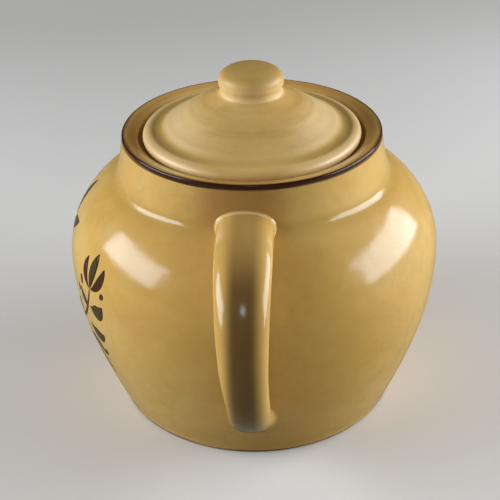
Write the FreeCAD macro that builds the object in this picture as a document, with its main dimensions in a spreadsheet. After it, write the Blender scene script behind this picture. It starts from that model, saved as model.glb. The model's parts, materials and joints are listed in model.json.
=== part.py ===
"""A lidded stoneware teapot, in millimetres.

+Z is up and the origin is the centre of the foot's underside, on the pot's axis.
The handle is on +X, the spout on -X. The pieces are the thrown pot, its strap
handle, its spout, the lid that drops into the gallery at the rim, and the lid's knob.
"""
import FreeCAD, Part
import math
import os
import Sketcher

V = FreeCAD.Vector
LINE, ARC = "line", "arc"
START, END, CENTRE = 1, 2, 3
H_AXIS, V_AXIS = -1, -2

DIMS = {
    # pot, outside
    "foot_radius": 64.2, "foot_round": 1.6, "foot_recess": 2.0, "foot_ring": 6.0,
    "flank_join": 39.6, "flank_curve": 295.0,
    "belly_radius": 83.6, "belly_height": 73.6, "belly_curve": 123.0,
    "crease_radius": 60.6, "crease_height": 109.8, "crease_fillet": 3.0,
    "rim_radius": 57.0, "rim_height": 129.8, "rim_round": 1.5,
    # pot, inside
    "wall": 5.0, "floor_height": 8.5, "floor_radius": 54.0, "floor_curve": 14.0,
    "floor_edge_radius": 61.2, "floor_edge": 16.5, "shoulder_inside": 104.0,
    "throat_radius": 44.0, "throat_bottom": 119.0,
    "ledge_height": 125.0, "gallery_radius": 49.8, "gallery_height": 128.0, "crest_radius": 54.6,
    # strainer behind the spout
    "strainer_height": 64.0, "strainer_hole": 2.4, "strainer_pitch": 8.5,
    # handle
    "handle_start": 48.0, "handle_reach": 109.2, "handle_level": 72.4,
    "handle_top_bend": 39.6, "handle_mid_bend": 36.0, "handle_low_bend": 60.0,
    "handle_mid_turn": 34.0, "handle_low_turn": 54.0, "handle_run_in": 20.0,
    "handle_width_top": 23.4, "handle_width_mid": 21.2, "handle_width_low": 17.4,
    "handle_thick_top": 13.0, "handle_thick_low": 10.8, "handle_flare": 2.4, "handle_lean": 1.9,
    # spout
    "spout_start": 76.0, "spout_level": 62.0, "spout_rise": 20.0, "spout_run_in": 16.0,
    "spout_bend": 30.0,
    "spout_steepest": 66.0, "spout_flip": 100.0, "spout_tip_rise": 48.0,
    "spout_base_width": 36.0, "spout_base_height": 46.0, "spout_tip_width": 20.0,
    "spout_tip_height": 21.0, "spout_wall": 4.0,
    # lid
    "brim_foot": 47.2, "brim_radius": 48.0, "brim_side": 128.0, "brim_curve": 6.0,
    "brim_crest_radius": 44.8, "brim_crest": 131.0, "brim_round": 3.4,
    "channel_radius": 41.5, "channel_height": 130.9, "channel_curve": 7.0,
    "cone_radius": 38.2, "cone_height": 132.3, "cone_curve": 86.0,
    "collar_radius": 18.3, "collar_height": 144.0, "collar_curve": 7.0,
    "flange_radius": 43.0, "flange_tip": 42.4, "flange_inside": 39.5, "flange_bottom": 113.0,
    "lid_thickness": 5.8,
    "vent_radius": 1.8, "vent_distance": 27.0,
    # knob
    "knob_base": 146.5, "knob_foot": 14.0, "knob_neck": 13.2, "knob_neck_height": 148.4,
    "knob_neck_curve": 4.0, "knob_radius": 14.1, "knob_middle": 152.3, "knob_under_curve": 8.9,
    "knob_side_curve": 5.1, "knob_shoulder_radius": 9.6, "knob_shoulder": 157.3,
    "knob_height": 158.5,
}


def make_sheet(doc):
    """The driving dimensions, one aliased cell each."""
    sheet = doc.addObject("Spreadsheet::Sheet", "Dims")
    for row, (alias, value) in enumerate(DIMS.items(), start=1):
        sheet.set(f"A{row}", alias)
        sheet.set(f"B{row}", str(value))
        sheet.setAlias(f"B{row}", alias)
    doc.recompute()
    return sheet


def new_body(doc, name):
    body = doc.addObject("PartDesign::Body", name)
    body.Label = name
    return body


def origin_item(body, role):
    return next(item for item in body.Origin.OriginFeatures if item.Role == role)


def new_sketch(body, name, plane="XZ_Plane"):
    sketch = body.newObject("Sketcher::SketchObject", name)
    sketch.AttachmentSupport = [(origin_item(body, plane), "")]
    sketch.MapMode = "FlatFace"
    return sketch


def measure(sketch, formula):
    """What a formula over the sheet comes to; None is zero."""
    return float(sketch.evalExpression(formula)) if formula else 0.0


def bind(sketch, constraint, formula):
    """Add a sized constraint and tie it to a formula over the sheet."""
    index = sketch.addConstraint(constraint)
    sketch.setExpression(f"Constraints[{index}]", formula)


def pin_point(sketch, edge, end, across, up):
    """Fix one point by its two distances from the sketch's origin; None puts it on that axis."""
    for kind, axis, formula in (("DistanceX", V_AXIS, across), ("DistanceY", H_AXIS, up)):
        if formula is None:
            sketch.addConstraint(Sketcher.Constraint("PointOnObject", edge, end, axis))
        else:
            value = measure(sketch, formula)
            bind(sketch, Sketcher.Constraint(kind, -1, 1, edge, end, value), formula)


def closed_outline(sketch, corners):
    """Draw a closed outline through corners, each (across, up, edge to the next corner).

    across and up are formulas, or None for a point on the axis. An edge is LINE, or
    (ARC, radius formula, side), where side is +1 when the arc turns left on its way.
    """
    points = [V(measure(sketch, across), measure(sketch, up), 0) for across, up, _ in corners]
    edges = []
    for index, (_, _, edge) in enumerate(corners):
        start, end = points[index], points[(index + 1) % len(points)]
        if edge == LINE:
            edges.append((sketch.addGeometry(Part.LineSegment(start, end)), START, END))
        else:
            edges.append(add_arc(sketch, start, end, edge[1], edge[2]))
    for index, (geometry, first, last) in enumerate(edges):
        following = edges[(index + 1) % len(edges)]
        joint = Sketcher.Constraint("Coincident", geometry, last, following[0], following[1])
        sketch.addConstraint(joint)
        pin_point(sketch, geometry, first, corners[index][0], corners[index][1])
    for (geometry, _, _), (_, _, edge) in zip(edges, corners):
        if edge != LINE:
            radius = measure(sketch, edge[1])
            bind(sketch, Sketcher.Constraint("Radius", geometry, radius), edge[1])


def add_arc(sketch, start, end, radius_formula, side):
    """An arc from start to end; sketch arcs run anticlockwise, so a right turn is drawn backwards."""
    radius = measure(sketch, radius_formula)
    chord = end - start
    left = V(-chord.y, chord.x, 0).normalize()
    rise = math.sqrt(radius ** 2 - (chord.Length / 2) ** 2)
    centre = (start + end) / 2 + left * (side * rise)
    first, last = (start, end) if side > 0 else (end, start)
    angles = [math.atan2(point.y - centre.y, point.x - centre.x) for point in (first, last)]
    circle = Part.Circle(centre, V(0, 0, 1), radius)
    geometry = sketch.addGeometry(Part.ArcOfCircle(circle, angles[0], angles[1]))
    return (geometry, START, END) if side > 0 else (geometry, END, START)


def revolve(body, kind, name, sketch):
    """Turn a half section about the vertical axis; kind is Revolution or Groove."""
    feature = body.newObject(f"PartDesign::{kind}", name)
    feature.Profile = sketch
    feature.ReferenceAxis = (sketch, ["V_Axis"])
    feature.Angle = 360.0
    sketch.Visibility = False
    return feature


FLANK_JOIN_RADIUS = ("Dims.belly_radius - Dims.belly_curve"
                     " + sqrt(Dims.belly_curve ^ 2 - (Dims.belly_height - Dims.flank_join) ^ 2)")
SHOULDER_CURVE = ("((Dims.belly_radius - Dims.crease_radius) ^ 2"
                  " + (Dims.crease_height - Dims.belly_height) ^ 2)"
                  " / (2 * (Dims.belly_radius - Dims.crease_radius))")


def outer_section(body, name):
    """Half section of the pot's outer shape, solid: foot, flank, belly, shoulder, neck, rim."""
    sketch = new_sketch(body, name)
    closed_outline(sketch, [
        (None, None, LINE),
        ("Dims.foot_radius", None, (ARC, "Dims.flank_curve", 1)),
        (FLANK_JOIN_RADIUS, "Dims.flank_join", (ARC, "Dims.belly_curve", 1)),
        ("Dims.belly_radius", "Dims.belly_height", (ARC, SHOULDER_CURVE, 1)),
        ("Dims.crease_radius", "Dims.crease_height", LINE),
        ("Dims.rim_radius", "Dims.rim_height", LINE),
        (None, "Dims.rim_height", LINE),
    ])
    return sketch


def inner_section(body, name):
    """Half section of what is hollow: the inside of the pot, the throat and the lid's gallery."""
    sketch = new_sketch(body, name)
    inside = " - Dims.wall"
    closed_outline(sketch, [
        (None, "Dims.floor_height", LINE),
        ("Dims.floor_radius", "Dims.floor_height", (ARC, "Dims.floor_curve", 1)),
        ("Dims.floor_edge_radius", "Dims.floor_edge", (ARC, "Dims.flank_curve", 1)),
        (FLANK_JOIN_RADIUS + inside, "Dims.flank_join", (ARC, "Dims.belly_curve", 1)),
        ("Dims.belly_radius - Dims.wall", "Dims.belly_height", (ARC, SHOULDER_CURVE + inside, 1)),
        ("Dims.crease_radius - 1", "Dims.shoulder_inside", LINE),
        ("Dims.throat_radius", "Dims.throat_bottom", LINE),
        ("Dims.throat_radius", "Dims.ledge_height", LINE),
        ("Dims.gallery_radius", "Dims.ledge_height", LINE),
        ("Dims.gallery_radius", "Dims.gallery_height", LINE),
        ("Dims.crest_radius", "Dims.rim_height", LINE),
        ("Dims.crest_radius", "Dims.rim_height + 1", LINE),
        (None, "Dims.rim_height + 1", LINE),
    ])
    return sketch


def disc_section(body, name, radius, bottom, top):
    """Half section of a plain disc, for cutting a round recess."""
    sketch = new_sketch(body, name)
    closed_outline(sketch, [(None, bottom, LINE), (radius, bottom, LINE), (radius, top, LINE),
                            (None, top, LINE)])
    return sketch


def hole_pocket(body, name, centres, radius, plane, offset, depth):
    """Drill round holes from a plane set off from the body's own origin plane."""
    sketch = new_sketch(body, name, plane)
    sketch.setExpression(".AttachmentOffset.Base.z", offset)
    size = measure(sketch, radius)
    for across, up in centres:
        place = V(measure(sketch, across), measure(sketch, up), 0)
        circle = sketch.addGeometry(Part.Circle(place, V(0, 0, 1), size))
        bind(sketch, Sketcher.Constraint("Radius", circle, size), radius)
        pin_point(sketch, circle, CENTRE, across, up)
    pocket = body.newObject("PartDesign::Pocket", name + "_cut")
    pocket.Profile = sketch
    pocket.Length = 1.0
    pocket.setExpression("Length", depth)
    sketch.Visibility = False
    return pocket


def round_edges(body, feature, name, radius, wanted):
    """Fillet the edges of a feature that the test picks out."""
    body.Document.recompute()
    edges = [f"Edge{n}" for n, edge in enumerate(feature.Shape.Edges, start=1) if wanted(edge)]
    fillet = body.newObject("PartDesign::Fillet", name)
    fillet.Base = (feature, edges)
    fillet.setExpression("Radius", radius)
    return fillet


def is_ring(edge, radius, height):
    """Whether an edge is the full circle of that radius at that height on the pot's axis."""
    curve = edge.Curve
    return (isinstance(curve, Part.Circle) and abs(curve.Radius - radius) < 0.01
            and abs(curve.Center.z - height) < 0.01)


def make_pot_body(doc):
    """The thrown pot: one wall from foot to rim, hollow, with a gallery for the lid."""
    body = new_body(doc, "pot_body")
    thrown = revolve(body, "Revolution", "thrown", outer_section(body, "outside"))
    crease = (DIMS["crease_radius"], DIMS["crease_height"])
    neck = round_edges(body, thrown, "crease_blend", "Dims.crease_fillet",
                       lambda edge: is_ring(edge, *crease))
    rim = (DIMS["rim_radius"], DIMS["rim_height"])
    lip = round_edges(body, neck, "rim_blend", "Dims.rim_round", lambda edge: is_ring(edge, *rim))
    foot = (DIMS["foot_radius"], 0.0)
    round_edges(body, lip, "foot_blend", "Dims.foot_round", lambda edge: is_ring(edge, *foot))
    revolve(body, "Groove", "hollow", inner_section(body, "inside"))
    recess = disc_section(body, "recess", "Dims.foot_radius - Dims.foot_ring", None,
                          "Dims.foot_recess")
    revolve(body, "Groove", "foot_recess", recess)
    strainer_holes(body)
    return body


def strainer_holes(body):
    """A ring of six holes round a seventh, through the wall that the spout covers."""
    centres = [(None, "Dims.strainer_height")]
    for turn in range(0, 360, 60):
        across = f"Dims.strainer_pitch * cos({turn} * 1 deg)"
        up = f"Dims.strainer_height + Dims.strainer_pitch * sin({turn} * 1 deg)"
        centres.append((across, up))
    hole_pocket(body, "strainer", centres, "Dims.strainer_hole", "YZ_Plane",
                "-Dims.belly_radius + 3 * Dims.wall", "4 * Dims.wall").Reversed = True


def section_ring(body, name, across, up, turn, width, height):
    """An ellipse standing across a path in the XZ plane; turn tips it from upright."""
    sketch = new_sketch(body, name, "YZ_Plane")
    sketch.AttachmentOffset = FreeCAD.Placement(V(0, 0, 0), FreeCAD.Rotation(V(1, 0, 0), 1))
    sketch.setExpression(".AttachmentOffset.Base.y", up)
    sketch.setExpression(".AttachmentOffset.Base.z", across)
    sketch.setExpression(".AttachmentOffset.Rotation.Angle", turn)
    half_width, half_height = measure(sketch, width) / 2, measure(sketch, height) / 2
    wide = half_width > half_height
    major, minor = V(half_width, 0, 0), V(0, half_height, 0)
    if not wide:
        major, minor = V(0, half_height, 0), V(-half_width, 0, 0)
    ellipse = sketch.addGeometry(Part.Ellipse(major, minor, V(0, 0, 0)))
    sketch.exposeInternalGeometry(ellipse)
    sketch.addConstraint(Sketcher.Constraint("Coincident", ellipse, CENTRE, -1, 1))
    first, second = ellipse + 1, ellipse + 2
    sketch.addConstraint(Sketcher.Constraint("Horizontal" if wide else "Vertical", first))
    sizes = (width, height) if wide else (height, width)
    for axis, formula in zip((first, second), sizes):
        length = measure(sketch, formula)
        bind(sketch, Sketcher.Constraint("Distance", axis, length), formula)
    sketch.Visibility = False
    return sketch


def loft(body, kind, name, rings):
    """Skin a run of section rings; kind is AdditiveLoft or SubtractiveLoft."""
    feature = body.newObject(f"PartDesign::{kind}", name)
    feature.Profile = rings[0]
    feature.Sections = rings[1:]
    return feature


def bend(centre_across, centre_up, radius, turn):
    """The point at an angle round an arc, and how far the path has tipped there from level."""
    across = f"{centre_across} + {radius} * sin({turn} * 1 deg)"
    up = f"{centre_up} + {radius} * cos({turn} * 1 deg)"
    return across, up


def handle_path():
    """Places along the middle of the strap: out from the neck, over, and in to the flank.

    Three arcs that run into one another; a turn of 90 is the outermost point.
    """
    reach, level = "Dims.handle_reach", "Dims.handle_level"
    top, middle, low = "Dims.handle_top_bend", "Dims.handle_mid_bend", "Dims.handle_low_bend"
    places = [("Dims.handle_start", f"{level} + {top}", "0"),
              ("Dims.handle_start + 12", f"{level} + {top}", "0")]
    centre = (f"{reach} - {top}", level)
    for turn in (0, 30, 60, 90):
        places.append((*bend(*centre, top, turn), f"{turn}"))
    centre = (f"{reach} - {middle}", level)
    for share in (0.5, 1.0):
        turn = f"(90 + {share} * Dims.handle_mid_turn)"
        places.append((*bend(*centre, middle, turn), turn))
    last = "(90 + Dims.handle_mid_turn)"
    centre = (f"{reach} - {middle} + ({middle} - {low}) * sin({last} * 1 deg)",
              f"{level} + ({middle} - {low}) * cos({last} * 1 deg)")
    for share in (0.5, 1.0):
        turn = f"(90 + Dims.handle_mid_turn + {share} * (Dims.handle_low_turn - Dims.handle_mid_turn))"
        places.append((*bend(*centre, low, turn), turn))
    across, up, turn = places[-1]
    for run in ("0.6 * Dims.handle_run_in", "Dims.handle_run_in", "1.8 * Dims.handle_run_in"):
        along = (f"{across} + {run} * cos({turn} * 1 deg)", f"{up} - {run} * sin({turn} * 1 deg)")
        places.append((*along, turn))
    return places


def make_handle(doc):
    """The pulled strap handle, oval in section, cut off at the pot's surface."""
    body = new_body(doc, "handle")
    places = handle_path()
    top, middle, low = "Dims.handle_width_top", "Dims.handle_width_mid", "Dims.handle_width_low"
    thick, thin = "Dims.handle_thick_top", "Dims.handle_thick_low"
    lean, flare = "Dims.handle_lean", "Dims.handle_flare"
    widths = [f"{top} + {flare}"] * 2 + [top, top, middle, f"({middle} + {low}) / 2"]
    widths += [low] * 5 + [f"{low} + {flare} / 2", f"{low} + {flare}"]
    depths = [f"{thick} + {flare}"] * 2 + [thick] * 2 + [f"({thick} + {thin}) / 2"] + [thin] * 8
    asides = ["0"] * 5 + [f"0.4 * {lean}", f"0.8 * {lean}"] + [lean] * 6
    rings = []
    for number, (place, width, depth, aside) in enumerate(zip(places, widths, depths, asides)):
        ring = section_ring(body, f"strap_ring_{number}", *place, width, depth)
        ring.setExpression(".AttachmentOffset.Base.x", aside)
        rings.append(ring)
    loft(body, "AdditiveLoft", "strap", rings)
    revolve(body, "Groove", "pot_side", outer_section(body, "pot_outside"))
    return body


def spout_path():
    """Places along the middle of the spout: out and up in a hollow bend, then a flatter tip."""
    start, level = "Dims.spout_start", "Dims.spout_level"
    rise, steep, tip = "Dims.spout_rise", "Dims.spout_steepest", "Dims.spout_tip_rise"
    curve, flip = "Dims.spout_bend", "Dims.spout_flip"
    run = "Dims.spout_run_in"
    places = [(f"{start} - {run} * cos({rise} * 1 deg)", f"{level} - {run} * sin({rise} * 1 deg)",
               f"-{rise}")]
    for share in (0, 0.5, 1.0):
        climb = f"({rise} + {share} * ({steep} - {rise}))"
        across = f"{start} + {curve} * (sin({climb} * 1 deg) - sin({rise} * 1 deg))"
        up = f"{level} + {curve} * (cos({rise} * 1 deg) - cos({climb} * 1 deg))"
        places.append((across, up, f"-{climb}"))
    turn_across, turn_up, _ = places[-1]
    for share in (0.33, 0.67, 1.0):
        climb = f"({steep} + {share} * ({tip} - {steep}))"
        across = f"{turn_across} + {flip} * (sin({steep} * 1 deg) - sin({climb} * 1 deg))"
        up = f"{turn_up} + {flip} * (cos({climb} * 1 deg) - cos({steep} * 1 deg))"
        places.append((across, up, f"-{climb}"))
    return places


def make_spout(doc):
    """The spout, a tapering tube luted over the strainer; it is built on +X and turned to -X."""
    body = new_body(doc, "spout")
    places = spout_path()
    shares = (0, 0.05, 0.38, 0.66, 0.82, 0.94, 1.0)
    skins = {"outside": "0", "bore": "2 * Dims.spout_wall"}
    for skin, less in skins.items():
        rings = []
        for number, (place, share) in enumerate(zip(places, shares)):
            thinner = f"(1 - 0.25 * {share}) * {less}"
            width, height = (f"Dims.spout_base_{side} * (1 - {share})"
                             f" + Dims.spout_tip_{side} * {share} - {thinner}"
                             for side in ("width", "height"))
            rings.append(section_ring(body, f"{skin}_ring_{number}", *place, width, height))
        loft(body, "AdditiveLoft" if skin == "outside" else "SubtractiveLoft", skin, rings)
    revolve(body, "Groove", "pot_side", outer_section(body, "pot_outside"))
    body.Placement = FreeCAD.Placement(V(0, 0, 0), FreeCAD.Rotation(V(0, 0, 1), 180))
    return body


def make_lid(doc):
    """The lid: a shallow domed cone in a flat channel, a rounded brim, and a deep flange."""
    body = new_body(doc, "lid")
    sketch = new_sketch(body, "section")
    closed_outline(sketch, [
        ("Dims.flange_inside", "Dims.flange_bottom", LINE),
        ("Dims.flange_tip", "Dims.flange_bottom", LINE),
        ("Dims.flange_radius", "Dims.ledge_height", LINE),
        ("Dims.brim_foot", "Dims.ledge_height", (ARC, "Dims.brim_curve", 1)),
        ("Dims.brim_radius", "Dims.brim_side", (ARC, "Dims.brim_round", 1)),
        ("Dims.brim_crest_radius", "Dims.brim_crest", LINE),
        ("Dims.channel_radius", "Dims.channel_height", (ARC, "Dims.channel_curve", -1)),
        ("Dims.cone_radius", "Dims.cone_height", (ARC, "Dims.cone_curve", 1)),
        ("Dims.collar_radius", "Dims.collar_height", (ARC, "Dims.collar_curve", -1)),
        ("Dims.knob_foot", "Dims.knob_base", LINE),
        (None, "Dims.knob_base", LINE),
        (None, "Dims.knob_base - Dims.lid_thickness", LINE),
        ("Dims.knob_foot", "Dims.collar_height - Dims.lid_thickness", LINE),
        ("Dims.flange_inside", "Dims.cone_height - Dims.lid_thickness", LINE),
    ])
    revolve(body, "Revolution", "thrown", sketch)
    hole_pocket(body, "vent", [("-Dims.vent_distance", None)], "Dims.vent_radius", "XY_Plane",
                "Dims.knob_base", "8 * Dims.lid_thickness")
    return body


def make_knob(doc):
    """The round knob on the lid's collar: a slight neck under a flattened ball."""
    body = new_body(doc, "lid_knob")
    sketch = new_sketch(body, "section")
    rise = "(Dims.knob_height - Dims.knob_shoulder)"
    crown = f"(Dims.knob_shoulder_radius ^ 2 + {rise} ^ 2) / (2 * {rise})"
    closed_outline(sketch, [
        (None, "Dims.knob_base", LINE),
        ("Dims.knob_foot", "Dims.knob_base", (ARC, "Dims.knob_neck_curve", -1)),
        ("Dims.knob_neck", "Dims.knob_neck_height", (ARC, "Dims.knob_under_curve", 1)),
        ("Dims.knob_radius", "Dims.knob_middle", (ARC, "Dims.knob_side_curve", 1)),
        ("Dims.knob_shoulder_radius", "Dims.knob_shoulder", (ARC, crown, 1)),
        (None, "Dims.knob_height", LINE),
    ])
    revolve(body, "Revolution", "thrown", sketch)
    return body


def check(doc, bodies):
    """Stop on anything that failed to build, before a file is written."""
    for item in doc.Objects:
        if "Invalid" in item.State or "Error" in item.State:
            raise RuntimeError(f"{item.Name} failed: {item.State}")
    for body in bodies:
        if body.Shape.isNull() or not body.Shape.isValid() or len(body.Shape.Solids) != 1:
            raise RuntimeError(f"{body.Label} is not one valid solid")


def main():
    doc = FreeCAD.newDocument("teapot")
    make_sheet(doc)
    makers = (make_pot_body, make_handle, make_spout, make_lid, make_knob)
    bodies = [make(doc) for make in makers]
    doc.recompute()
    check(doc, bodies)
    os.makedirs("parts", exist_ok=True)
    for body in bodies:
        body.Shape.exportStep(f"parts/{body.Label}.step")
        size = body.Shape.optimalBoundingBox()
        print(body.Label, round(body.Shape.Volume), "mm3", size)


main()
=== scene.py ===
"""The looks of a lidded stoneware teapot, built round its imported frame.

Shapes are worked out in millimetres, as a potter would give them, and turned into metres
where a mesh is made. +Z is up, the handle is on +X, the spout on -X, the painted sprig on -Y.
"""
import json
import math

import bmesh
import bpy
import numpy as np
from mathutils import Matrix, Vector, noise


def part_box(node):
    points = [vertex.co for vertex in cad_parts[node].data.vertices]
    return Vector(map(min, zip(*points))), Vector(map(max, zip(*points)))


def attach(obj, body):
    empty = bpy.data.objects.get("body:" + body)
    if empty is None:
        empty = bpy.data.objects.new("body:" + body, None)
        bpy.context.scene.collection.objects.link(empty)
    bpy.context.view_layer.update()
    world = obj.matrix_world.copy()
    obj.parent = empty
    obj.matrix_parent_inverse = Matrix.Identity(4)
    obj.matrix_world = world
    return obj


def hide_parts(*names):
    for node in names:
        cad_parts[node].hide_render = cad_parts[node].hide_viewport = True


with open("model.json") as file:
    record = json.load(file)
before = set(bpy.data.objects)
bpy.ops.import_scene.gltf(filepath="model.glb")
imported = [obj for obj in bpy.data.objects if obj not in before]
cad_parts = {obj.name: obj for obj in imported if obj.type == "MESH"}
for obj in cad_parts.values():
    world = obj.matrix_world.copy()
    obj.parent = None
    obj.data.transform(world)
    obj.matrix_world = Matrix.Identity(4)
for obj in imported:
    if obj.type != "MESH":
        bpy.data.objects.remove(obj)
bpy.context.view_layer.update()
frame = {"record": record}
MM = 0.001
ACROSS = Vector((0, 1, 0))


def box_mm(node):
    """The low and high corners of a CAD node's box, in mm."""
    low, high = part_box(node)
    return low / MM, high / MM


# ---------------------------------------------------------------- sizes, in millimetres
RIM_HEIGHT = box_mm("pot_body")[1].z
BELLY = box_mm("pot_body")[1].y - 0.2  # leaves room for the wall's wobble and the painted slip
REACH = box_mm("handle")[1].x
KNOB_BASE = box_mm("lid_knob")[0].z
KNOB_TOP = box_mm("lid_knob")[1].z
KNOB_WIDE = box_mm("lid_knob")[1].y
FLANGE_BOTTOM = box_mm("lid")[0].z

FOOT = 65.0
BELLY_HEIGHT = 73.6
BELLY_CURVE = 123.0
FLANK_JOIN = 39.6
FLANK_CURVE = 290.0
CREASE = (60.6, 109.8)
RIM = 57.0
RIM_CREST = 55.4
LEDGE = 125.0
THROAT = 44.0
WALL = 5.0
FLOOR = 8.5
FOOT_RECESS = 2.0
STRAINER_HEIGHT, STRAINER_PITCH, STRAINER_HOLE = 64.0, 8.5, 2.4
STRAP_START, STRAP_LEVEL, STRAP_BEND, STRAP_THIN = 48.0, 72.4, 39.6, 10.8
SPOUT_START = (61.0, 56.5)
VENT_DISTANCE, VENT_HOLE = 27.0, 1.8
KNOB_FOOT = 14.0

# Points round a lathed piece, and the steepest edge in degrees that still shades as smooth.
AROUND = 240
SMOOTH = 35


# ---------------------------------------------------------------- outlines
def arc(start, end, radius, side, steps=20):
    """Points after start, up to end, round an arc; side is +1 where it turns left on its way."""
    (x0, y0), (x1, y1) = start, end
    chord = math.hypot(x1 - x0, y1 - y0)
    rise = side * math.sqrt(radius ** 2 - chord ** 2 / 4)
    cx = (x0 + x1) / 2 - (y1 - y0) / chord * rise
    cy = (y0 + y1) / 2 + (x1 - x0) / chord * rise
    first = math.atan2(y0 - cy, x0 - cx)
    sweep = math.remainder(math.atan2(y1 - cy, x1 - cx) - first, 2 * math.pi)
    turns = [first + sweep * i / steps for i in range(1, steps + 1)]
    return [(cx + radius * math.cos(a), cy + radius * math.sin(a)) for a in turns]


def soften(corners, steps=6):
    """A line through (r, z, cut) corners, each corner rounded from cut mm before to cut after."""
    line = []
    for i, (r, z, cut) in enumerate(corners):
        here = Vector((r, z))
        if cut == 0 or i in (0, len(corners) - 1):
            line.append((r, z))
            continue
        before = Vector(corners[i - 1][:2]) - here
        after = Vector(corners[i + 1][:2]) - here
        p = here + before * min(0.5, cut / before.length)
        q = here + after * min(0.5, cut / after.length)
        for k in range(steps + 1):
            t = k / steps
            point = p * (1 - t) ** 2 + here * 2 * t * (1 - t) + q * t ** 2
            line.append((point.x, point.y))
    return line


def even(line, step):
    """The same line with its long stretches divided, so that its rings shade well."""
    out = [line[0]]
    for (r0, z0), (r1, z1) in zip(line, line[1:]):
        parts = max(1, round(math.hypot(r1 - r0, z1 - z0) / step))
        shares = [k / parts for k in range(1, parts + 1)]
        out += [(r0 + (r1 - r0) * share, z0 + (z1 - z0) * share) for share in shares]
    return out


def outer_line():
    """The pot's outside from the foot's edge to the rim's crest."""
    inward, upward = BELLY - CREASE[0], CREASE[1] - BELLY_HEIGHT
    shoulder_curve = (inward ** 2 + upward ** 2) / (2 * inward)
    drop = BELLY_HEIGHT - FLANK_JOIN
    join = (BELLY - BELLY_CURVE + math.sqrt(BELLY_CURVE ** 2 - drop ** 2), FLANK_JOIN)
    line = soften([(FOOT - 3.0, 0, 0), (FOOT - 0.7, 0, 1.5), (FOOT, 3.0, 0)])
    line += arc(line[-1], join, FLANK_CURVE, 1)
    line += arc(join, (BELLY, BELLY_HEIGHT), BELLY_CURVE, 1)
    shoulder = arc((BELLY, BELLY_HEIGHT), CREASE, shoulder_curve, 1, 40)
    line += [point for point in shoulder if point[1] < CREASE[1] - 2.2]
    neck = [(*line[-1], 0), (*CREASE, 2.6), (58.4, 119.5, 12), (RIM, RIM_HEIGHT - 1.6, 0),
            (RIM, RIM_HEIGHT, 1.5), (RIM_CREST, RIM_HEIGHT, 0)]
    return line + soften(neck)[1:]


OUTER = outer_line()
OUTER_R = np.array([point[0] for point in OUTER])
OUTER_Z = np.maximum.accumulate(np.array([point[1] for point in OUTER]))


def wobble(angle, z):
    """How far the hand-worked wall strays from round, in mm."""
    spot = Vector((math.cos(angle) * 1.6, math.sin(angle) * 1.6, z / 45))
    return 0.22 * noise.noise(spot)


def pot_radius(z, angle):
    """The pot's outside radius at a height and an angle, in mm."""
    return float(np.interp(z, OUTER_Z, OUTER_R)) + wobble(angle, z)


def inner_line():
    """The pot's inside from the rim's crest down the gallery and throat to the floor's middle."""
    gallery = [(RIM_CREST, RIM_HEIGHT, 0), (53.6, RIM_HEIGHT - 0.4, 2), (51.0, 128.2, 1.5),
               (50.2, 128.3, 0.6), (49.8, 127.4, 0.6), (49.6, LEDGE, 1.2), (THROAT, LEDGE, 1.0),
               (THROAT, 119.0, 2.5), (CREASE[0] - 1, 104.0, 0)]
    line = soften(gallery)
    line += arc(line[-1], (BELLY - WALL, BELLY_HEIGHT), 36.0, -1)
    line += arc(line[-1], (74.0, FLANK_JOIN), BELLY_CURVE, -1)
    line += arc(line[-1], (62.0, 17.0), FLANK_CURVE, -1)
    line += arc(line[-1], (54.0, FLOOR), 14.0, -1)
    return line + [(0.0, FLOOR)]


def underside():
    """The recessed underside, from the middle out to the foot ring."""
    return soften([(0, FOOT_RECESS, 0), (57.4, FOOT_RECESS, 1.2), (58.6, 0, 0.8),
                   (FOOT - 3.0, 0, 0)])


# ---------------------------------------------------------------- meshes
def make_object(name, verts, faces, material):
    """A smooth-shaded mesh object from points in mm."""
    mesh = bpy.data.meshes.new(name)
    mesh.from_pydata([Vector(v) * MM for v in verts], [], faces)
    mesh.validate()
    mesh.shade_smooth()
    piece = bpy.data.objects.new(name, mesh)
    bpy.context.collection.objects.link(piece)
    if material:
        mesh.materials.append(material)
    tidy = bmesh.new()
    tidy.from_mesh(mesh)
    bmesh.ops.recalc_face_normals(tidy, faces=tidy.faces)
    tidy.to_mesh(mesh)
    tidy.free()
    return piece


def lathe(name, line, material, stray=None):
    """Spin a line (r, z) about the pot's axis; its ends lie on the axis."""
    verts, rings = [], []
    for r, z in line:
        ring = []
        for k in range(AROUND if r > 1e-6 else 1):
            angle = 2 * math.pi * k / AROUND
            reach = r + (stray(angle, r, z) if stray and r > 1e-6 else 0)
            ring.append(len(verts))
            verts.append((reach * math.cos(angle), reach * math.sin(angle), z))
        rings.append(ring)
    faces = []
    for low, high in zip(rings, rings[1:]):
        faces += band(low, high)
    piece = make_object(name, verts, faces, material)
    piece.data.set_sharp_from_angle(angle=math.radians(SMOOTH))
    return piece


def band(low, high):
    """The faces between two closed rings; a ring of one point closes to a fan."""
    count = max(len(low), len(high))
    faces = []
    for k in range(count):
        n = (k + 1) % count
        corners = [low[k % len(low)], low[n % len(low)], high[n % len(high)], high[k % len(high)]]
        faces.append([c for i, c in enumerate(corners) if c not in corners[:i]])
    return faces


def skin(name, rings, material, looped=False):
    """Cover rings of points with faces; looped joins the last ring to the first."""
    verts = [point for ring in rings for point in ring]
    count = len(rings[0])
    index = [[i * count + k for k in range(count)] for i in range(len(rings))]
    faces = []
    for low, high in zip(index, index[1:]):
        faces += band(low, high)
    if looped:
        faces += band(index[-1], index[0])
    else:
        faces += [index[0][::-1], index[-1]]
    return make_object(name, verts, faces, material)


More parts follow.
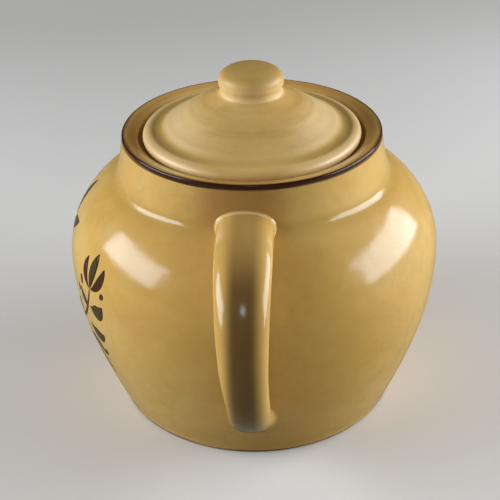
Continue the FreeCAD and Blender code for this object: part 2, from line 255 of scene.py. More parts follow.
def drill(piece, holes):
    """Cut straight round holes, each (start, end, radius) in mm, out of a piece."""
    cutter = bmesh.new()
    for start, end, radius in holes:
        along = Vector(end) - Vector(start)
        place = Matrix.Translation((Vector(start) + along / 2) * MM)
        turn = along.to_track_quat("Z", "Y").to_matrix().to_4x4()
        bmesh.ops.create_cone(cutter, cap_ends=True, segments=40, radius1=radius * MM,
                              radius2=radius * MM, depth=along.length * MM, matrix=place @ turn)
    mesh = bpy.data.meshes.new("cutter")
    cutter.to_mesh(mesh)
    cutter.free()
    tool = bpy.data.objects.new("cutter", mesh)
    bpy.context.collection.objects.link(tool)
    cut = piece.modifiers.new("holes", "BOOLEAN")
    cut.object = tool
    cut.operation = "DIFFERENCE"
    cut.solver = "EXACT"
    graph = bpy.context.evaluated_depsgraph_get()
    finished = bpy.data.meshes.new_from_object(piece.evaluated_get(graph))
    piece.modifiers.clear()
    piece.data = finished
    piece.data.shade_smooth()
    piece.data.set_sharp_from_angle(angle=math.radians(SMOOTH))
    bpy.data.objects.remove(tool)


# ---------------------------------------------------------------- what is luted onto the pot
def oval(count, wide, deep, square):
    """Points round an oval section as (across, out); square above 2 fills its corners."""
    points = []
    for k in range(count):
        c, s = math.cos(2 * math.pi * k / count), math.sin(2 * math.pi * k / count)
        points.append((math.copysign(abs(c) ** (2 / square), c) * wide / 2,
                       math.copysign(abs(s) ** (2 / square), s) * deep / 2))
    return points


def spread(table, share):
    """A size along a piece, smoothly between the (share, size) pairs of a table."""
    shares = [pair[0] for pair in table]
    sizes = [pair[1] for pair in table]
    fine = np.linspace(0, 1, 201)
    coarse = np.interp(fine, shares, sizes)
    kernel = np.hanning(23)
    smooth = np.convolve(np.pad(coarse, 11, mode="edge"), kernel / kernel.sum(), "valid")
    return float(np.interp(share, fine, smooth))


def walk(start, heading, moves, step=1.0):
    """A path in the XZ plane from start, as (x, z, heading).

    Moves are (length, turn), in mm and degrees.
    """
    x, z = start
    path = [(x, z, heading)]
    for length, turn in moves:
        parts = max(1, round(length / step))
        for _ in range(parts):
            heading += turn / parts / 2
            x += length / parts * math.cos(math.radians(heading))
            z += length / parts * math.sin(math.radians(heading))
            heading += turn / parts / 2
            path.append((x, z, heading))
    return path


def path_lines(path, section_at, count):
    """For each point round the section, its line along the path, in mm."""
    lines = [[] for _ in range(count)]
    for i, (x, z, heading) in enumerate(path):
        tip = math.radians(heading)
        out = Vector((-math.sin(tip), 0, math.cos(tip)))
        for line, (across, depth) in zip(lines, section_at(i / (len(path) - 1))):
            line.append(Vector((x, 0, z)) + ACROSS * across + out * depth)
    return lines


def under_pot(point):
    """How far a point is outside the pot's wall, in mm; negative inside."""
    angle = math.atan2(point.y, point.x)
    return math.hypot(point.x, point.y) - pot_radius(point.z, angle)


def onto_pot(point, deeper=0.0):
    """The point moved level with the pot's axis onto its wall."""
    angle = math.atan2(point.y, point.x)
    radius = pot_radius(point.z, angle) - deeper
    return Vector((radius * math.cos(angle), radius * math.sin(angle), point.z))


def leave_pot(line):
    """Where a line that starts inside the pot comes out, and the line's points from there on."""
    for i, (inside, outside) in enumerate(zip(line, line[1:])):
        a, b = under_pot(inside), under_pot(outside)
        if a < 0 <= b:
            return inside.lerp(outside, a / (a - b)), line[i + 1:]
    raise ValueError("a line never leaves the pot")


def blended_root(crossing, middle, onward, reach, spread_out, steps=9):
    """Points from under the wall, over a hollow fillet, to reach mm along the line."""
    travelled, previous, after = 0.0, crossing, 0
    for after, point in enumerate(onward):
        travelled += (point - previous).length
        previous = point
        if travelled >= reach:
            break
    top = onward[after]
    sideways = (crossing - middle)
    sideways.normalize()
    foot = onto_pot(crossing + sideways * spread_out)
    points = [onto_pot(foot, 3.0), onto_pot(foot, 0.15)]
    for k in range(1, steps + 1):
        t = k / steps
        a = foot.lerp(crossing, 0.62)
        b = top.lerp(crossing, 0.62)
        points.append(foot * (1 - t) ** 3 + a * 3 * t * (1 - t) ** 2 + b * 3 * t * t * (1 - t)
                      + top * t ** 3)
    return points, onward[after + 1:]


def resample(line, count):
    """count points evenly along a line, from its first to its last."""
    lengths = [0.0]
    for a, b in zip(line, line[1:]):
        lengths.append(lengths[-1] + (b - a).length)
    wanted = np.linspace(0, lengths[-1], count)
    columns = [np.interp(wanted, lengths, [point[k] for point in line]) for k in range(3)]
    return [Vector(row) for row in zip(*columns)]


# ---------------------------------------------------------------- the pieces
def pot_body(material):
    """The thrown pot, with the strainer's seven holes behind the spout."""
    line = even(underside()[:-1] + OUTER + inner_line()[1:], 2.0)

    def stray(angle, r, z):
        return wobble(angle, z) if r > THROAT + 0.5 and z > 0.5 else 0.0

    piece = lathe("pot_body_skin", line, material, stray)
    centres = [(0.0, STRAINER_HEIGHT)]
    for turn in range(0, 360, 60):
        bearing = math.radians(turn)
        centres.append((STRAINER_PITCH * math.cos(bearing),
                        STRAINER_HEIGHT + STRAINER_PITCH * math.sin(bearing)))
    drill(piece, [((-92, y, z), (-66, y, z), STRAINER_HOLE) for y, z in centres])
    return piece


def handle(material):
    """The pulled strap: out from the neck, over and down, and in low on the belly."""
    run_in = REACH - STRAP_THIN / 2 - STRAP_BEND - STRAP_START
    moves = [(run_in, 0), (math.pi / 2 * STRAP_BEND, -90), (21.4, -34), (21.0, -20), (38.0, 0)]
    path = smooth_path(walk((STRAP_START, STRAP_LEVEL + STRAP_BEND), 0, moves))
    widths = [(0, 23.6), (0.22, 23.3), (0.38, 21.2), (0.58, 17.5), (0.68, 17.1), (1, 17.4)]
    depths = [(0, 13.0), (0.3, 12.8), (0.52, STRAP_THIN), (1, 10.6)]
    leans = [(0, -0.4), (0.38, 0.0), (0.5, 0.6), (0.6, 1.9), (1, 1.9)]
    count = 72

    def section(share):
        aside = spread(leans, share)
        ring = oval(count, spread(widths, share), spread(depths, share), 2.1)
        return [(across + aside, out) for across, out in ring]

    lines = path_lines(path, section, count)
    middle = [Vector((x, spread(leans, i / (len(path) - 1)), z))
              for i, (x, z, _) in enumerate(path)]
    middles = (leave_pot(middle)[0], leave_pot(middle[::-1])[0])
    skin_lines = []
    for line in lines:
        crossing, onward = leave_pot(line)
        first, onward = blended_root(crossing, middles[0], onward, 2.4, 1.2)
        crossing, back = leave_pot(onward[::-1])
        last, back = blended_root(crossing, middles[1], back, 4.0, 2.2)
        skin_lines.append(first + resample(back[::-1], 90) + last[::-1])
    return skin("handle_skin", list(zip(*skin_lines)), material)


def smooth_path(path, rounds=30):
    """The same path with its headings eased, so that one bend runs into the next."""
    points = np.array([(x, z) for x, z, _ in path])
    for _ in range(rounds):
        points[1:-1] = (points[:-2] + 2 * points[1:-1] + points[2:]) / 4
    ahead = np.gradient(points, axis=0)
    headings = np.degrees(np.unwrap(np.arctan2(ahead[:, 1], ahead[:, 0])))
    return [(x, z, heading) for (x, z), heading in zip(points, headings)]


def spout(material):
    """The tapering spout, hollow, with a rounded lip; worked out on +X and turned to -X."""
    path = smooth_path(walk(SPOUT_START, 20, [(16, 0), (24.1, 46), (31.4, -18)]), 12)
    wide = [(0, 36), (0.24, 36), (0.5, 27.5), (0.75, 22), (1, 20)]
    deep = [(0, 46), (0.24, 46), (0.5, 33), (0.75, 24.5), (1, 21)]
    wall = [(0, 4.2), (0.6, 4.0), (1, 3.2)]
    count = 72

    def outside(share):
        return oval(count, spread(wide, share), spread(deep, share), 2)

    def inside(share):
        less = 2 * spread(wall, share)
        return oval(count, spread(wide, share) - less, spread(deep, share) - less, 2)

    middle = [Vector((x, 0, z)) for x, z, _ in path]
    centre = leave_pot(middle)[0]
    skin_lines = []
    for out, bore in zip(path_lines(path, outside, count), path_lines(path, inside, count)):
        crossing, onward = leave_pot(out)
        root, rest = blended_root(crossing, centre, onward, 5.0, 4.0)
        body = resample(rest, 50)
        bore_start, bore_rest = leave_pot(bore)
        inner = resample([bore_start] + bore_rest, 50)[::-1]
        lip = rounded_lip(body[-1], inner[0], body[-1] - body[-2])
        skin_lines.append(root + body[:-2] + lip + inner[2:] + [onto_pot(inner[-1], 1.5)])
    half_turn = Matrix.Rotation(math.pi, 3, "Z")
    rings = [[half_turn @ point for point in ring] for ring in zip(*skin_lines)]
    return skin("spout_skin", rings, material, looped=True)


def rounded_lip(outer, inner, onward, steps=8):
    """A half-round from a tube's outer edge over to its bore."""
    centre = (outer + inner) / 2
    half = (outer - inner) / 2
    ahead = onward.normalized() * half.length
    centre = centre - ahead
    turns = [math.pi * k / steps for k in range(steps + 1)]
    return [centre + half * math.cos(a) + ahead * math.sin(a) for a in turns]


def lid_line():
    """The lid's section: hollow underside, flange, brim, flat channel, domed cone and collar."""
    corners = [(0, 140.7, 0), (12.4, 138.4, 6), (39.5, 126.0, 3), (39.3, FLANGE_BOTTOM, 0.9),
               (42.6, FLANGE_BOTTOM, 1.3), (43.0, LEDGE, 0.6), (47.2, LEDGE, 1.2),
               (48.0, 127.0, 1.6), (47.8, 129.1, 9), (46.6, 130.4, 9), (44.8, 131.0, 9),
               (42.6, 130.8, 9), (40.9, 131.0, 9), (39.4, 131.6, 9), (37.8, 132.6, 9),
               (36.5, 133.5, 9), (35.0, 134.4, 9), (33.5, 135.3, 9), (31.0, 137.1, 9),
               (27.0, 139.8, 9), (23.0, 142.0, 9), (20.5, 143.1, 9), (18.3, 144.0, 9),
               (17.0, 144.6, 9), (15.6, 145.3, 9), (14.6, 145.9, 9), (KNOB_FOOT, KNOB_BASE, 0),
               (0, KNOB_BASE, 0)]
    line = even(soften(corners, 8), 0.8)
    return [(r, z + ripple(r, z)) for r, z in line]


def ripple(r, z):
    """The faint throwing rings on the lid's cone."""
    if z < 133.0 or not 18 < r < 38:
        return 0.0
    fade = math.sin(math.pi * (r - 18) / 20)
    return 0.06 * fade * math.sin(r * 1.2 + 0.6 * math.sin(r * 0.7))


def lid(material):
    """The lid, with its steam vent on the spout's side."""
    piece = lathe("lid_skin", lid_line(), material)
    drill(piece, [((-VENT_DISTANCE, 0, 128), (-VENT_DISTANCE, 0, 150), VENT_HOLE)])
    return piece


def knob(material):
    """The knob: a hollow neck that flares into the lid, under a flattened, drum-like ball."""
    square, middle, steps = 2.25, 152.0, 40
    neck = [(KNOB_FOOT, KNOB_BASE, 0), (13.55, 147.2, 9), (13.35, 148.2, 9), (13.5, 149.2, 9),
            (KNOB_WIDE, 150.4, 9), (KNOB_WIDE, middle, 0)]
    outline = [(0, KNOB_BASE)] + soften(neck, 8)
    for k in range(1, steps + 1):
        a = math.pi / 2 * k / steps
        outline.append((KNOB_WIDE * math.cos(a) ** (2 / square),
                        middle + (KNOB_TOP - middle) * math.sin(a) ** (2 / square)))
    outline[-1] = (0, KNOB_TOP)
    return lathe("lid_knob_skin", even(outline, 0.8), material)


# ---------------------------------------------------------------- the painted sprig
OUTER_RUN = np.concatenate([[0.0], np.cumsum(np.hypot(np.diff(OUTER_R), np.diff(OUTER_Z)))])


def on_wall(u, v, lift):
    """The point u mm round from the -Y side and v mm up the wall, lift mm off its glaze."""
    r, z = (float(np.interp(v, OUTER_RUN, side)) for side in (OUTER_R, OUTER_Z))
    ahead = [float(np.interp(v + 0.5, OUTER_RUN, side)) for side in (OUTER_R, OUTER_Z)]
    slope = Vector((ahead[0] - r, ahead[1] - z)).normalized()
    angle = -math.pi / 2 + u / r
    reach = pot_radius(z, angle) + slope.y * lift
    return Vector((reach * math.cos(angle), reach * math.sin(angle), z - slope.x * lift))


def bezier(points, t):
    """The point at share t of the curve that the points control."""
    while len(points) > 1:
        points = [a.lerp(b, t) for a, b in zip(points, points[1:])]
    return points[0]


def brushed(points, width, fullest, blunt, lift, inset=0.0, steps=36):
    """Rings of one thin stroke of slip along a curve of (u, v) points.

    fullest is the share of its length where it is widest, and blunt below 1 fills out its
    ends. inset narrows it all round, for a fill inside an outline.
    """
    points = [Vector(point) for point in points]
    power = math.log(0.5) / math.log(fullest)
    rings = []
    for k in range(steps + 1):
        t = 0.003 + 0.994 * k / steps
        half = math.sin(math.pi * t ** power) ** blunt * width / 2 - inset
        if half < 0.06:
            continue
        here = bezier(points, t)
        along = (bezier(points, t + 0.002) - bezier(points, t - 0.002)).normalized()
        aside = Vector((-along.y, along.x))
        section = [(-1, -0.08), (-0.85, 0.8 * lift), (-0.45, lift), (0, lift), (0.45, lift),
                   (0.85, 0.8 * lift), (1, -0.08), (0.5, -0.3), (-0.5, -0.3)]
        ring = []
        for share, height in section:
            u, v = here + aside * half * share
            ring.append(on_wall(u, v, height))
        rings.append(ring)
    return rings


def sprig():
    """A plain mirrored spray: a stem, curved branches, pointed leaves, buds and berries."""
    stems = [([(0, 30), (2, 60), (0, 92)], 2.0, 0.5, 0.3)]
    leaves = [([(0, 91), (0, 101), (0, 113)], 9.0, 0.45, 0.9)]
    for side in (1, -1):
        def mirrored(*points):
            return [(side * u, v) for u, v in points]

        stems += [
            (mirrored((1, 54), (24, 46), (44, 60), (50, 80)), 2.1, 0.5, 0.3),
            (mirrored((1, 46), (26, 51), (39, 46), (46, 31)), 3.4, 0.7, 0.5),
            (mirrored((49.5, 79.5), (42.5, 85), (44.5, 94.0)), 5.0, 0.55, 0.7),
            (mirrored((50.5, 79.5), (60.0, 84), (58.5, 93.5)), 5.4, 0.55, 0.7),
            (mirrored((41.5, 78.0), (41.0, 80.0), (40.5, 82.5)), 3.2, 0.5, 0.4),
            (mirrored((37.0, 72.0), (36.0, 73.5), (35.0, 75.5)), 2.8, 0.5, 0.4),
            (mirrored((59.0, 79.0), (60.5, 80.5), (61.0, 82.0)), 3.0, 0.5, 0.4),
            (mirrored((49.0, 44.5), (50.0, 46.0), (50.5, 48.0)), 3.0, 0.5, 0.4),
        ]
        leaves += [
            (mirrored((50, 79.5), (51.5, 88), (51.0, 98.0)), 6.2, 0.55, 0.7),
            (mirrored((1, 89), (9, 92), (20, 98)), 7.0, 0.5, 0.9),
            (mirrored((48.0, 70), (55, 66.5), (60.0, 75.0)), 8.2, 0.5, 0.9),
            (mirrored((46.0, 68), (41, 69.0), (38.5, 76.0)), 5.4, 0.5, 0.9),
            (mirrored((42.0, 58.5), (49, 52.0), (56.0, 58.5)), 7.4, 0.5, 0.9),
            (mirrored((28.0, 51.5), (26, 59.0), (32.0, 66.0)), 6.4, 0.5, 0.9),
            (mirrored((2, 66), (10, 66.0), (16.0, 75.0)), 6.6, 0.5, 0.9),
            (mirrored((36.0, 49.5), (44, 49.0), (48.5, 43.0)), 4.8, 0.5, 0.9),
        ]
    brown = [brushed(*stroke, lift=0.07) for stroke in stems + leaves]
    green = [brushed(*leaf, lift=0.11, inset=0.8) for leaf in leaves]
    return brown, green


def painted(name, strokes, material):
    """One mesh of many closed strokes."""
    verts, faces = [], []
    for rings in strokes:
        first, count = len(verts), len(rings[0])
        index = [[first + i * count + k for k in range(count)] for i in range(len(rings))]
        verts += [point for ring in rings for point in ring]
        for low, high in zip(index, index[1:]):
            faces += band(low, high)
        faces += [index[0][::-1], index[-1]]
    return make_object(name, verts, faces, material)


# ---------------------------------------------------------------- materials
class Shader:
    """A node material with one Principled shader, written a line at a time."""

    def __init__(self, name, **settings):
        self.material = bpy.data.materials.new(name)
        self.material.use_nodes = True
        self.tree = self.material.node_tree
        self.tree.nodes.clear()
        self.surface = self.node("BsdfPrincipled", **settings)
        self.output = self.node("OutputMaterial")
        self.link(self.surface.outputs[0], self.output.inputs["Surface"])
        self.place = self.node("TexCoord").outputs["Object"]

    def node(self, kind, inputs=None, **settings):
        """A new node: inputs feed its sockets; settings are its properties or socket values."""
        made = self.tree.nodes.new("ShaderNode" + kind)
        for key, value in settings.items():
            if hasattr(made, key):
                setattr(made, key, value)
            else:
                made.inputs[key.replace("_", " ")].default_value = value
        for key, value in (inputs or {}).items():
            self.feed(made.inputs[key], value)
        return made

    def link(self, source, target):
        self.tree.links.new(source, target)

    def feed(self, socket, value):
        """Link a node's output to a socket, or set the socket to a plain value."""
        if isinstance(value, bpy.types.NodeSocket):
            self.link(value, socket)
        else:
            socket.default_value = value

    def math(self, operation, first, second=0.0, third=0.0):
        made = self.node("Math", operation=operation)
        for socket, value in zip(made.inputs, (first, second, third)):
            self.feed(socket, value)
        return made.outputs[0]

    def noise(self, scale, detail=3.0, rough=0.5, where=None):
        made = self.node("TexNoise", {"Vector": where or self.place, "Scale": scale,
                                      "Detail": detail, "Roughness": rough})
        return made.outputs["Fac"]

    def step(self, value, low, high, start=0.0, end=1.0):
        """A smooth change from start to end as value goes from low to high."""
        made = self.node("MapRange", {"Value": value, "From Min": low, "From Max": high,
                                      "To Min": start, "To Max": end},
                         interpolation_type="SMOOTHSTEP")
        return made.outputs["Result"]

    def mix(self, share, first, second):
        """Two colours mixed; share is the second's part."""
        made = self.node("Mix", data_type="RGBA")
        self.feed(made.inputs["Factor"], share)
        for socket, colour in zip(made.inputs[6:8], (first, second)):
            plain = not isinstance(colour, bpy.types.NodeSocket)
            self.feed(socket, (*colour, 1) if plain else colour)
        return made.outputs[2]

    def axis(self, letter):
        """One of the object's own coordinates, in metres."""
        return self.node("SeparateXYZ", {"Vector": self.place}).outputs[letter]

    def radius(self):
        """The distance from the pot's axis, in metres."""
        flat = self.node("CombineXYZ", {"X": self.axis("X"), "Y": self.axis("Y")})
        length = self.node("VectorMath", {"Vector": flat.outputs[0]}, operation="LENGTH")
        return length.outputs["Value"]


# Base colours, linear.
HONEY = (0.65, 0.376, 0.094)
CREAM = (0.71, 0.44, 0.136)
# PALE is painted highlight and sheen: on the lid's and knob's sides, over the lid and knob as a
# whole, and along the strap's root.
PALE = (0.90, 0.65, 0.33)
KHAKI = (0.41, 0.255, 0.055)
AMBER = (0.38, 0.17, 0.045)
# UMBER is laid down the strap's front as painted shade.
UMBER = (0.18, 0.098, 0.029)
BARE = (0.33, 0.20, 0.11)
BROWN = (0.045, 0.011, 0.003)
RUST = (0.140, 0.048, 0.014)
OLIVE = (0.048, 0.034, 0.008)
MOSS = (0.105, 0.078, 0.020)


def glaze(name, layers=(), satin=0.0, painted_sheen=0.0, gloss=0.33):
    """Honey glaze over speckled stoneware, duller by satin, and lightened all over towards PALE by
    its share of painted sheen.

    Each layer is (mask maker, colour), laid over the ones before it.
    """
    made = Shader(name, Roughness=0.2, Specular_IOR_Level=gloss)
    clouds = made.noise(16, 4, 0.55)
    colour = made.mix(made.step(clouds, 0.36, 0.64), HONEY, CREAM)
    # Painted sheen: the whole glaze lightened towards PALE.
    colour = made.mix(painted_sheen, colour, PALE)
    colour = made.mix(made.step(made.noise(38, 5, 0.7), 0.48, 0.70, 0.0, 0.22), colour, KHAKI)
    mottle = made.step(made.noise(170, 4, 0.6), 0.3, 0.7, 0.0, 1.0)
    colour = made.mix(made.math("MULTIPLY", mottle, 0.09), colour, AMBER)
    grain = made.step(made.noise(1500, 2, 0.5), 0.58, 0.72, 0.0, 0.14)
    colour = made.mix(grain, colour, AMBER)
    colour = made.mix(specks(made), colour, AMBER)
    colour = made.mix(crazing(made, 0.08 if satin else 0.28), colour, AMBER)
    for mask, shade in layers:
        colour = made.mix(mask(made), colour, shade)
    made.link(colour, made.surface.inputs["Base Color"])
    rough = made.step(made.noise(60, 3, 0.6), 0.3, 0.7, 0.14 + satin, 0.21 + satin)
    made.link(rough, made.surface.inputs["Roughness"])
    skin_bump(made)
    return made.material


def specks(made):
    """Sparse iron specks in the clay, showing through."""
    cells = made.node("TexVoronoi", {"Vector": made.place, "Scale": 330.0})
    dots = made.step(cells.outputs["Distance"], 0.05, 0.16, 0.5, 0.0)
    sparse = made.step(made.noise(110, 1), 0.60, 0.66)
    return made.math("MULTIPLY", dots, sparse)


def crazing(made, depth):
    """Hairline crackle in the glaze, in patches, as strong as depth."""
    bent = made.node("Mix", data_type="VECTOR")
    made.feed(bent.inputs["Factor"], 0.012)
    made.link(made.place, bent.inputs[4])
    waves = made.node("TexNoise", {"Vector": made.place, "Scale": 60.0, "Detail": 3.0})
    made.link(waves.outputs["Color"], bent.inputs[5])
    cells = made.node("TexVoronoi", {"Vector": bent.outputs[1], "Scale": 46.0},
                      feature="DISTANCE_TO_EDGE")
    hair = made.step(cells.outputs["Distance"], 0.002, 0.008, depth, 0.0)
    patches = made.step(made.noise(19, 2), 0.56, 0.64)
    return made.math("MULTIPLY", hair, patches)


def skin_bump(made):
    """The glaze's slightly uneven skin: long soft waves and a fine orange peel."""
    peel = made.math("MULTIPLY", made.noise(600, 2), 0.06)
    height = made.math("ADD", made.noise(75, 2), peel)
    bump = made.node("Bump", {"Height": height, "Strength": 0.35, "Distance": 0.0006})
    made.link(bump.outputs["Normal"], made.surface.inputs["Normal"])


def rim_crest(made):
    """The thin, reddish inner edge of the brown slip, up over the rim's crest."""
    wander = made.step(made.noise(35, 2), 0.3, 0.7, -0.0004, 0.0004)
    inside = made.math("ADD", made.radius(), wander)
    crest = made.step(inside, 0.0549, 0.0565, 0.0, 0.85)
    return made.math("MULTIPLY", crest, made.step(made.axis("Z"), 0.1272, 0.1276))


def rim_band(made):
    """Where brown slip was brushed round the rim's outer edge, wider on the handle's side."""
    wander = made.step(made.noise(22, 2), 0.3, 0.7, -0.0004, 0.0004)
    lowest = made.step(made.axis("X"), 0.022, 0.054, (RIM_HEIGHT - 1.3) * MM,
                       (RIM_HEIGHT - 2.2) * MM)
    edge = made.math("ADD", wander, lowest)
    above = made.math("SUBTRACT", made.axis("Z"), edge)
    low_side = made.step(above, -0.00025, 0.0002)
    crest = made.step(made.noise(35, 2), 0.3, 0.7, 0.0562, 0.0566)
    inside = made.math("SUBTRACT", made.radius(), crest)
    return made.math("MULTIPLY", low_side, made.step(inside, -0.0003, 0.0003))


def neck_front_shade(made):
    """Painted shade: a browner patch on the neck over the handle's root, on the side between the
    two soft boxes.
    """
    off = made.math("ABSOLUTE", made.math("ADD", made.axis("Y"), 0.003))
    aside = made.step(off, 0.008, 0.026, 1.0, 0.0)
    front = made.step(made.axis("X"), 0.030, 0.050, 0.0, 0.70)
    high = made.step(made.axis("Z"), 0.108, 0.116)
    return made.math("MULTIPLY", made.math("MULTIPLY", aside, front), high)


def far_rim_shade(made):
    """Painted shade: browner colour on the crest and inner slope of the rim on the spout's side.
    """
    radius = made.radius()
    crest = made.math("MULTIPLY", made.step(radius, 0.0515, 0.0535),
                      made.step(radius, 0.0570, 0.0562))
    high = made.step(made.axis("Z"), (RIM_HEIGHT - 2.5) * MM, (RIM_HEIGHT - 1.5) * MM)
    behind = made.step(made.axis("X"), -0.035, 0.010, 0.42, 0.0)
    return made.math("MULTIPLY", made.math("MULTIPLY", crest, high), behind)


def slip(name, colour, thin):
    """Dark slip under the glaze, thinner and warmer where the brush dragged."""
    made = Shader(name, Roughness=0.2, Specular_IOR_Level=0.2)
    drag = made.step(made.noise(420, 3, 0.6), 0.45, 0.75, 0.0, 0.55)
    made.link(made.mix(drag, colour, thin), made.surface.inputs["Base Color"])
    rough = made.step(made.noise(60, 3, 0.6), 0.3, 0.7, 0.16, 0.26)
    made.link(rough, made.surface.inputs["Roughness"])
    return made.material


def bare_foot(made):
    """The unglazed foot: its edge, wiped clean unevenly, and the whole recess under it."""
    height = made.axis("Z")
    wander = made.step(made.noise(30, 2), 0.3, 0.7, 0.0010, 0.0022)
    edge = made.math("LESS_THAN", height, wander)
    recess = made.math("LESS_THAN", height, made.step(made.radius(), 0.0585, 0.0600, 0.003, 0.0))
    return made.math("MAXIMUM", edge, recess)


def strap_front_shade(made):
    """Painted shade and dark reflection down the front crest of the strap, strongest low down."""
    aside = made.math("ABSOLUTE", made.math("SUBTRACT", made.axis("Y"), 0.0003))
    crest = made.step(aside, 0.0030, 0.0085, 1.0, 0.0)
    lower = made.step(made.axis("Z"), 0.106, 0.120, 1.0, 0.4)
    return made.math("MULTIPLY", crest, lower)


def root_highlight(made):
    """A painted highlight: a pale line along the ridge where the strap's top is luted onto the
    neck.
    """
    height = made.axis("Z")
    wall = made.math("MULTIPLY_ADD", made.math("SUBTRACT", 0.1195, height), 0.227, 0.0584)
    ridge_radius = made.math("ADD", wall, 0.0009)
    off = made.math("ABSOLUTE", made.math("SUBTRACT", made.radius(), ridge_radius))
    ridge = made.step(off, 0.0002, 0.0008, 0.45, 0.0)
    return made.math("MULTIPLY", ridge, made.step(height, 0.108, 0.111))


def crease_and_gallery_khaki(made):
    """Khaki darkening along the crease where the neck meets the shoulder, and inside the gallery.
    """
    off = made.math("ABSOLUTE", made.math("SUBTRACT", made.axis("Z"), (CREASE[1] + 1.0) * MM))
    crease = made.step(off, 0.0006, 0.0045, 0.35, 0.0)
    ledge = made.step(made.radius(), 0.0500, 0.0508, 0.6, 0.0)
    high = made.step(made.axis("Z"), 0.120, 0.124)
    return made.math("MAXIMUM", crease, made.math("MULTIPLY", ledge, high))


def to_the_sides(made, low, high, start, end):
    """A rise from start to end with the distance out from the plane of handle and spout."""
    return made.step(made.math("ABSOLUTE", made.axis("Y")), low, high, start, end)


def lid_channel_pool_and_reflection(made):
    """Khaki in the lid's channel, stronger at its sides: part glaze gathered there, part painted
    reflection.
    """
    off = made.math("ABSOLUTE", made.math("SUBTRACT", made.radius(), 0.0418))
    ring = made.step(off, 0.0006, 0.0034, 1.0, 0.0)
    return made.math("MULTIPLY", ring, to_the_sides(made, 0.010, 0.034, 0.28, 0.62))


def thrown_rings(made):
    """Fine browner rings that the potter's fingers left, running round lid and knob."""
    rings = made.node("CombineXYZ", {"X": made.math("MULTIPLY", made.radius(), 300.0),
                                     "Y": made.math("MULTIPLY", made.axis("Z"), 300.0),
                                     "Z": made.math("MULTIPLY", made.axis("X"), 70.0)})
    streaks = made.noise(1.0, 4, 0.65, rings.outputs[0])
    return made.step(streaks, 0.42, 0.70, 0.0, 0.24)


def cone_side_highlight(made):
    """Painted highlight: pale colour down the two sides of the lid's cone, which face the soft
    boxes.
    """
    radius = made.radius()
    ring = made.math("MULTIPLY", made.step(radius, 0.018, 0.032),
                     made.step(radius, 0.0375, 0.0400, 1.0, 0.0))
    return made.math("MULTIPLY", ring, to_the_sides(made, 0.010, 0.032, 0.0, 0.50))


def brim_side_highlight(made):
    """Painted highlight: pale colour over the brim's rounded edge, at its sides."""
    edge = made.step(made.radius(), 0.0432, 0.0450)
    return made.math("MULTIPLY", edge, to_the_sides(made, 0.010, 0.034, 0.0, 0.45))


def knob_crown_khaki(made):
    """Khaki-brown over the knob's crown, with a wandering lower edge."""
    wander = made.step(made.noise(90, 2), 0.3, 0.7, -0.0008, 0.0008)
    height = made.math("ADD", made.axis("Z"), wander)
    return made.step(height, 0.1530, 0.1565, 0.0, 0.5)


def knob_side_light(made):
    """Painted light: paler colour on the knob's side and neck."""
    return made.step(made.axis("Z"), 0.1505, 0.1545, 0.35, 0.0)


# ---------------------------------------------------------------- the stage
BACKDROP = (0.42, 0.42, 0.41)
DAYLIGHT = (1.0, 1.10, 1.22)
DIM_ROOM = (0.92, 0.78, 0.54)
POT_MIDDLE = Vector((0, 0, 0.08))
PALE_FLOOR = (0.68, 0.63, 0.575)
BOUNCE_FLOOR = (0.29, 0.265, 0.175)


def stage():
    """A pale floor, two long soft boxes at the sides, a small lamp above, and a dim room."""
    pale = plane("floor", 0.0, PALE_FLOOR)
    # The pale floor is seen but lights nothing; a greyer one just under it gives the soft
    # light that comes up onto the belly.
    pale.visible_diffuse = pale.visible_glossy = pale.visible_shadow = False
    grey = plane("floor_bounce", -0.0003, BOUNCE_FLOOR, sweeps=False)
    grey.visible_camera = False
    add_light("left_box", Vector((0.17, -0.85, 0.41)), (0.74, 0.38), 9.0)
    add_light("ceiling_lamp", Vector((0.97, 0.02, 0.93)), (0.16, 0.16), 0.8)
    add_light("right_box", Vector((-0.10, 0.85, 0.35)), (0.90, 0.46), 11.0)
    studio()
    bpy.context.scene.view_settings.view_transform = "Standard"


def studio():
    """The room: a pale backdrop to look at, which lights the pot only dimly."""
    world = bpy.data.worlds.new("studio")
    world.use_nodes = True
    nodes, links = world.node_tree.nodes, world.node_tree.links
    room = nodes["Background"]
    room.inputs["Color"].default_value = (*DIM_ROOM, 1)
    room.inputs["Strength"].default_value = 0.06
    backdrop = nodes.new("ShaderNodeBackground")
    backdrop.inputs["Color"].default_value = (*BACKDROP, 1)
    both = nodes.new("ShaderNodeMixShader")
    links.new(nodes.new("ShaderNodeLightPath").outputs["Is Camera Ray"], both.inputs["Fac"])
    links.new(room.outputs[0], both.inputs[1])
    links.new(backdrop.outputs[0], both.inputs[2])
    links.new(both.outputs[0], nodes["World Output"].inputs["Surface"])
    bpy.context.scene.world = world


def plane(name, height, tone, sweeps=True):
    """A broad matte floor."""
    half = 1.5
    mesh = bpy.data.meshes.new(name)
    corners = [(-half, -half, height), (half, -half, height), (half, half, height),
               (-half, half, height)]
    mesh.from_pydata(corners, [], [(0, 1, 2, 3)])
    floor = bpy.data.objects.new(name, mesh)
    bpy.context.collection.objects.link(floor)
    paper = Shader(name + "_paper", Roughness=0.9)
    lighter = tuple(channel * 1.05 for channel in tone)
    colour = paper.mix(paper.noise(3, 2), tone, lighter)
    paper.link(colour, paper.surface.inputs["Base Color"])
    if sweeps:
        sweep_up(paper)
    mesh.materials.append(paper.material)
    return floor


def sweep_up(paper):
    """Far from the pot, run the floor into the backdrop, so that it has no edge and no glare."""
    glow = paper.node("Emission", Color=(*BACKDROP, 1))
    both = paper.node("MixShader", {"Fac": paper.step(paper.radius(), 0.42, 0.72)})
    paper.link(paper.surface.outputs[0], both.inputs[1])
    paper.link(glow.outputs[0], both.inputs[2])
    paper.link(both.outputs[0], paper.output.inputs["Surface"])


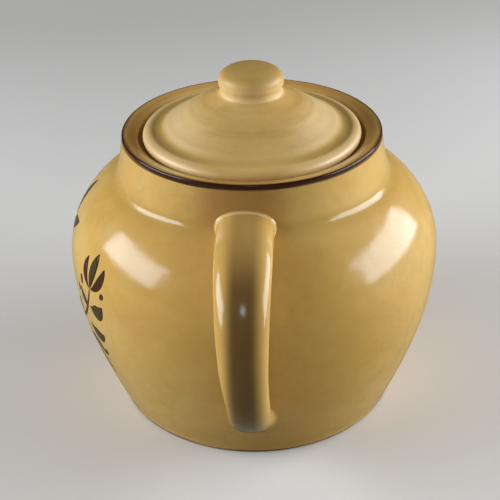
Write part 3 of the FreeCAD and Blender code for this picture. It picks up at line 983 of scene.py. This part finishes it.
def add_light(name, spot, size, power):
    """A soft box in metres, turned to the pot's middle."""
    lamp = bpy.data.lights.new(name, "AREA")
    lamp.shape = "RECTANGLE"
    lamp.size, lamp.size_y = size
    lamp.energy = power
    lamp.color = DAYLIGHT
    holder = bpy.data.objects.new(name, lamp)
    bpy.context.collection.objects.link(holder)
    holder.location = spot
    holder.rotation_euler = (POT_MIDDLE - spot).to_track_quat("-Z", "Y").to_euler()


def camera():
    """Looking down on the handle side from just right of it."""
    lens = bpy.data.cameras.new("camera")
    lens.sensor_width = 36.0
    lens.lens = 86.4
    eye = bpy.data.objects.new("camera", lens)
    bpy.context.collection.objects.link(eye)
    spot = Vector((0.4822, 0.0253, 0.3466))
    aim = Vector((0.0001, -0.0020, 0.0673))
    look = (aim - spot).to_track_quat("-Z", "Y")
    roll = Matrix.Rotation(math.radians(-1.264), 3, "Z")
    eye.matrix_world = Matrix.Translation(spot) @ (look.to_matrix() @ roll).to_4x4()
    bpy.context.scene.camera = eye


def main():
    """Make every piece, say what it rides on and replaces, and set the stage."""
    pieces = {
        # On the pot, the neck patch over the handle and the browner far rim are painted shade.
        "pot_body": pot_body(glaze("pot_glaze", [
            (crease_and_gallery_khaki, KHAKI), (neck_front_shade, AMBER), (far_rim_shade, AMBER), (rim_crest, RUST),
            (rim_band, BROWN), (bare_foot, BARE)])),
        # On the strap: painted shade down its front and a painted highlight along its root.
        "handle": handle(glaze("handle_glaze", [(strap_front_shade, UMBER), (root_highlight, PALE)])),
        "spout": spout(glaze("spout_glaze")),
        # The lid's and knob's pale sides and overall paleness are painted highlight and sheen; the
        # channel's khaki is partly painted reflection.
        "lid": lid(glaze("lid_glaze", [(thrown_rings, AMBER), (lid_channel_pool_and_reflection, KHAKI), (cone_side_highlight, PALE),
                                     (brim_side_highlight, PALE)],
                         satin=0.26, painted_sheen=0.06, gloss=0.60)),
        "lid_knob": knob(glaze("knob_glaze", [(thrown_rings, AMBER), (knob_crown_khaki, KHAKI),
                                           (knob_side_light, PALE)],
                               satin=0.24, painted_sheen=0.10)),
    }
    for node, piece in pieces.items():
        body = next(name for name, nodes in frame["record"]["behaviour"]["bodies"].items()
                    if node in nodes)
        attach(piece, body)
        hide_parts(node)
    brown, green = sprig()
    for name, strokes, material, place in (
            ("painted_sprig_brown", brown, slip("brown_paint", BROWN, RUST), "brown_slip"),
            ("painted_sprig_green", green, slip("green_paint", OLIVE, MOSS), "green_slip")):
        paint = painted(name, strokes, material)
        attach(paint, "pot")
    stage()
    camera()


main()
